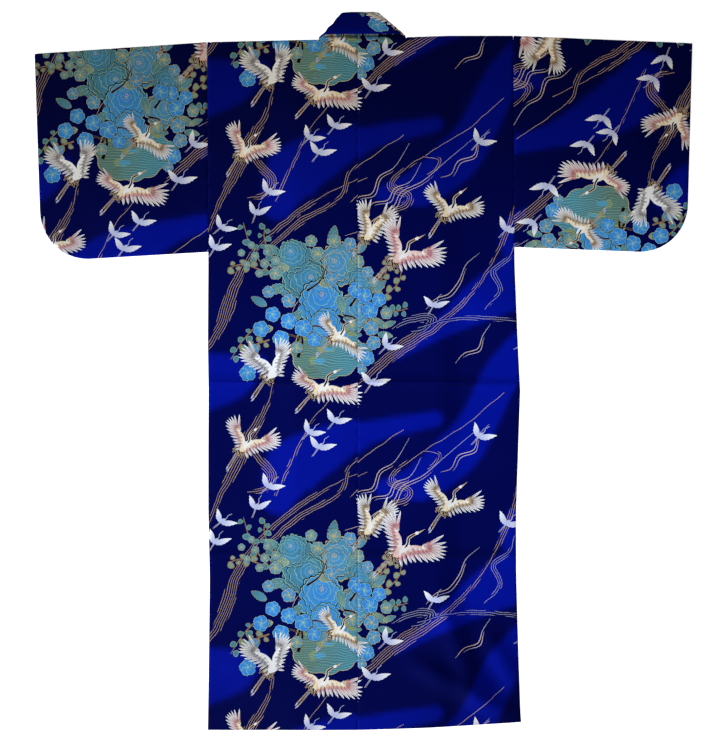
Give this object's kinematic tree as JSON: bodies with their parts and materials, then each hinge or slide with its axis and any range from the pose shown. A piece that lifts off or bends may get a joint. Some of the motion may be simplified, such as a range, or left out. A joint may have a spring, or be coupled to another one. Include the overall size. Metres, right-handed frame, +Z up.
{
  "type": "yukata",
  "caption": "Unlined summer kimono laid flat, back up, with spread round-cornered sleeves, folded collar band and crossed fronts under the back.",
  "frame": {"origin": "middle of the laid garment's outline, on the surface it lies on", "axes": "+Y from hem to collar, +X towards the sleeve on the right of the back view, +Z up off the surface"},
  "size_m": [1.348, 1.471, 0.0072],
  "materials": {
    "printed_cotton": "soft sateen cotton, navy and royal blue ground with a printed flower, crane and stream pattern"
  },
  "bodies": {
    "root": {"body_left": "printed_cotton", "body_right": "printed_cotton", "okumi_left": "printed_cotton", "okumi_right": "printed_cotton", "sleeve_left": "printed_cotton", "sleeve_right": "printed_cotton", "collar": "printed_cotton"}
  },
  "joints": []
}
